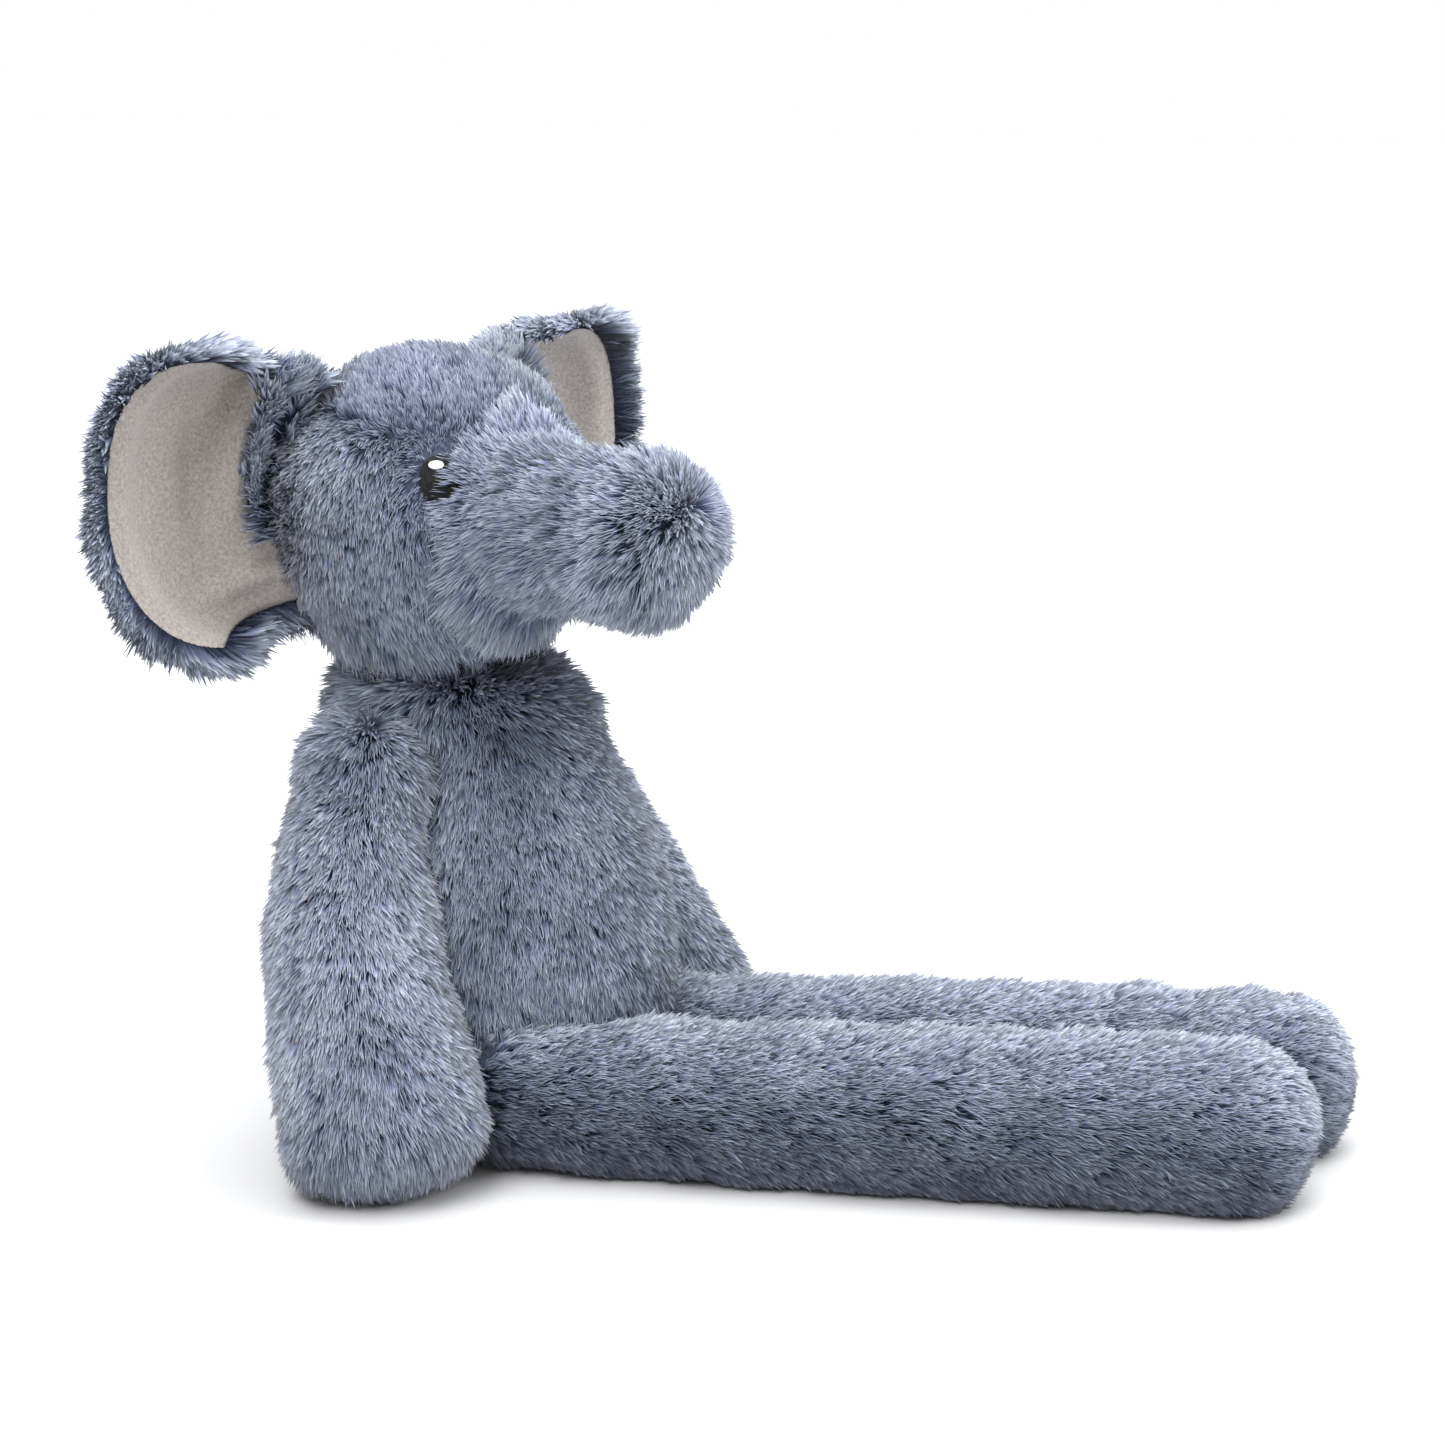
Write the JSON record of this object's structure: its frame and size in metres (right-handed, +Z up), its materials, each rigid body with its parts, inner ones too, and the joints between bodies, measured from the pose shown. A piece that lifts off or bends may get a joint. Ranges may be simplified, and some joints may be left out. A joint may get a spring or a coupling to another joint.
{
  "type": "stuffed elephant",
  "caption": "Long-legged stuffed elephant in blue-grey plush, sitting, with velour-lined ears, a short trunk and embroidered eyes.",
  "frame": {"origin": "on the surface it sits on, under the middle of the body, on the seat panel", "axes": "+Z up, -Y is where the body faces, +X is the elephant's left"},
  "size_m": [0.1836, 0.2702, 0.201],
  "materials": {
    "plush": "long-pile faux fur, blue-grey with paler tips",
    "velour_lining": "short-pile velour, warm pale grey",
    "stuffing": "loose polyester fibre",
    "bean_cloth": "plain woven bag of plastic pellets",
    "eye_thread_black": "satin-stitched black thread",
    "eye_thread_white": "satin-stitched white thread",
    "seam_thread": "twisted polyester thread"
  },
  "bodies": {
    "torso": {"torso_front_panel": "plush", "torso_back_panel": "plush", "seat_base_panel": "plush", "torso_stuffing": "stuffing", "seat_bean_bag": "bean_cloth"},
    "neck": {"neck_seam_stitches": "seam_thread"},
    "head": {"head_left_panel": "plush", "head_right_panel": "plush", "head_stuffing": "stuffing", "muzzle_collar": "plush", "muzzle_stuffing": "stuffing", "left_eye_patch": "eye_thread_black", "left_eye_highlight": "eye_thread_white", "right_eye_patch": "eye_thread_black", "right_eye_highlight": "eye_thread_white"},
    "trunk": {"trunk_upper_panel": "plush", "trunk_lower_panel": "plush", "trunk_stuffing": "stuffing"},
    "left_ear": {"left_ear_back": "plush", "left_ear_lining": "velour_lining"},
    "right_ear": {"right_ear_back": "plush", "right_ear_lining": "velour_lining"},
    "left_arm": {"left_arm_front_panel": "plush", "left_arm_back_panel": "plush", "left_arm_stuffing": "stuffing"},
    "right_arm": {"right_arm_front_panel": "plush", "right_arm_back_panel": "plush", "right_arm_stuffing": "stuffing"},
    "left_leg": {"left_leg_inner_panel": "plush", "left_leg_outer_panel": "plush", "left_leg_stuffing": "stuffing", "left_foot_bean_bag": "bean_cloth"},
    "right_leg": {"right_leg_inner_panel": "plush", "right_leg_outer_panel": "plush", "right_leg_stuffing": "stuffing", "right_foot_bean_bag": "bean_cloth"},
    "tail": {"tail_tube": "plush", "tail_tuft": "plush"}
  },
  "joints": [
    {"name": "neck_turn", "type": "hinge", "parent": "torso", "child": "neck", "pos_m": [0, 0.011, 0.12], "axis": [0, 0, 1], "range_deg": [-30, 45], "stiffness_Nm_per_rad": 0.12},
    {"name": "head_nod", "type": "hinge", "parent": "neck", "child": "head", "pos_m": [0, 0.011, 0.12], "axis": [-0.9659, 0.2588, 0], "range_deg": [-12, 12], "stiffness_Nm_per_rad": 0.35},
    {"name": "trunk_bend", "type": "hinge", "parent": "head", "child": "trunk", "pos_m": [-0.0162, -0.03626, 0.16], "axis": [-0.9659, 0.2588, 0], "range_deg": [-20, 20], "stiffness_Nm_per_rad": 0.08},
    {"name": "left_ear_flap", "type": "hinge", "parent": "head", "child": "left_ear", "pos_m": [0.03762, 0.01972, 0.1655], "axis": [0, 0, -1], "range_deg": [-20, 15], "stiffness_Nm_per_rad": 0.02},
    {"name": "right_ear_flap", "type": "hinge", "parent": "head", "child": "right_ear", "pos_m": [-0.03482, 0.03913, 0.1655], "axis": [0, 0, 1], "range_deg": [-20, 15], "stiffness_Nm_per_rad": 0.02},
    {"name": "left_arm_swing", "type": "hinge", "parent": "torso", "child": "left_arm", "pos_m": [0.037, 0.013, 0.0955], "axis": [-1, 0, 0], "range_deg": [-60, 90]},
    {"name": "right_arm_swing", "type": "hinge", "parent": "torso", "child": "right_arm", "pos_m": [-0.037, 0.013, 0.0955], "axis": [-1, 0, 0], "range_deg": [-60, 90]},
    {"name": "left_leg_lift", "type": "hinge", "parent": "torso", "child": "left_leg", "pos_m": [0.0305, -0.04, 0.0175], "axis": [-0.9483, -0.3173, 0], "range_deg": [0, 45]},
    {"name": "right_leg_lift", "type": "hinge", "parent": "torso", "child": "right_leg", "pos_m": [-0.0175, -0.049, 0.0175], "axis": [-0.9483, -0.3173, 0], "range_deg": [0, 45]},
    {"name": "tail_lift", "type": "hinge", "parent": "torso", "child": "tail", "pos_m": [0.006, 0.047, 0.032], "axis": [1, 0, 0], "range_deg": [0, 50]}
  ]
}
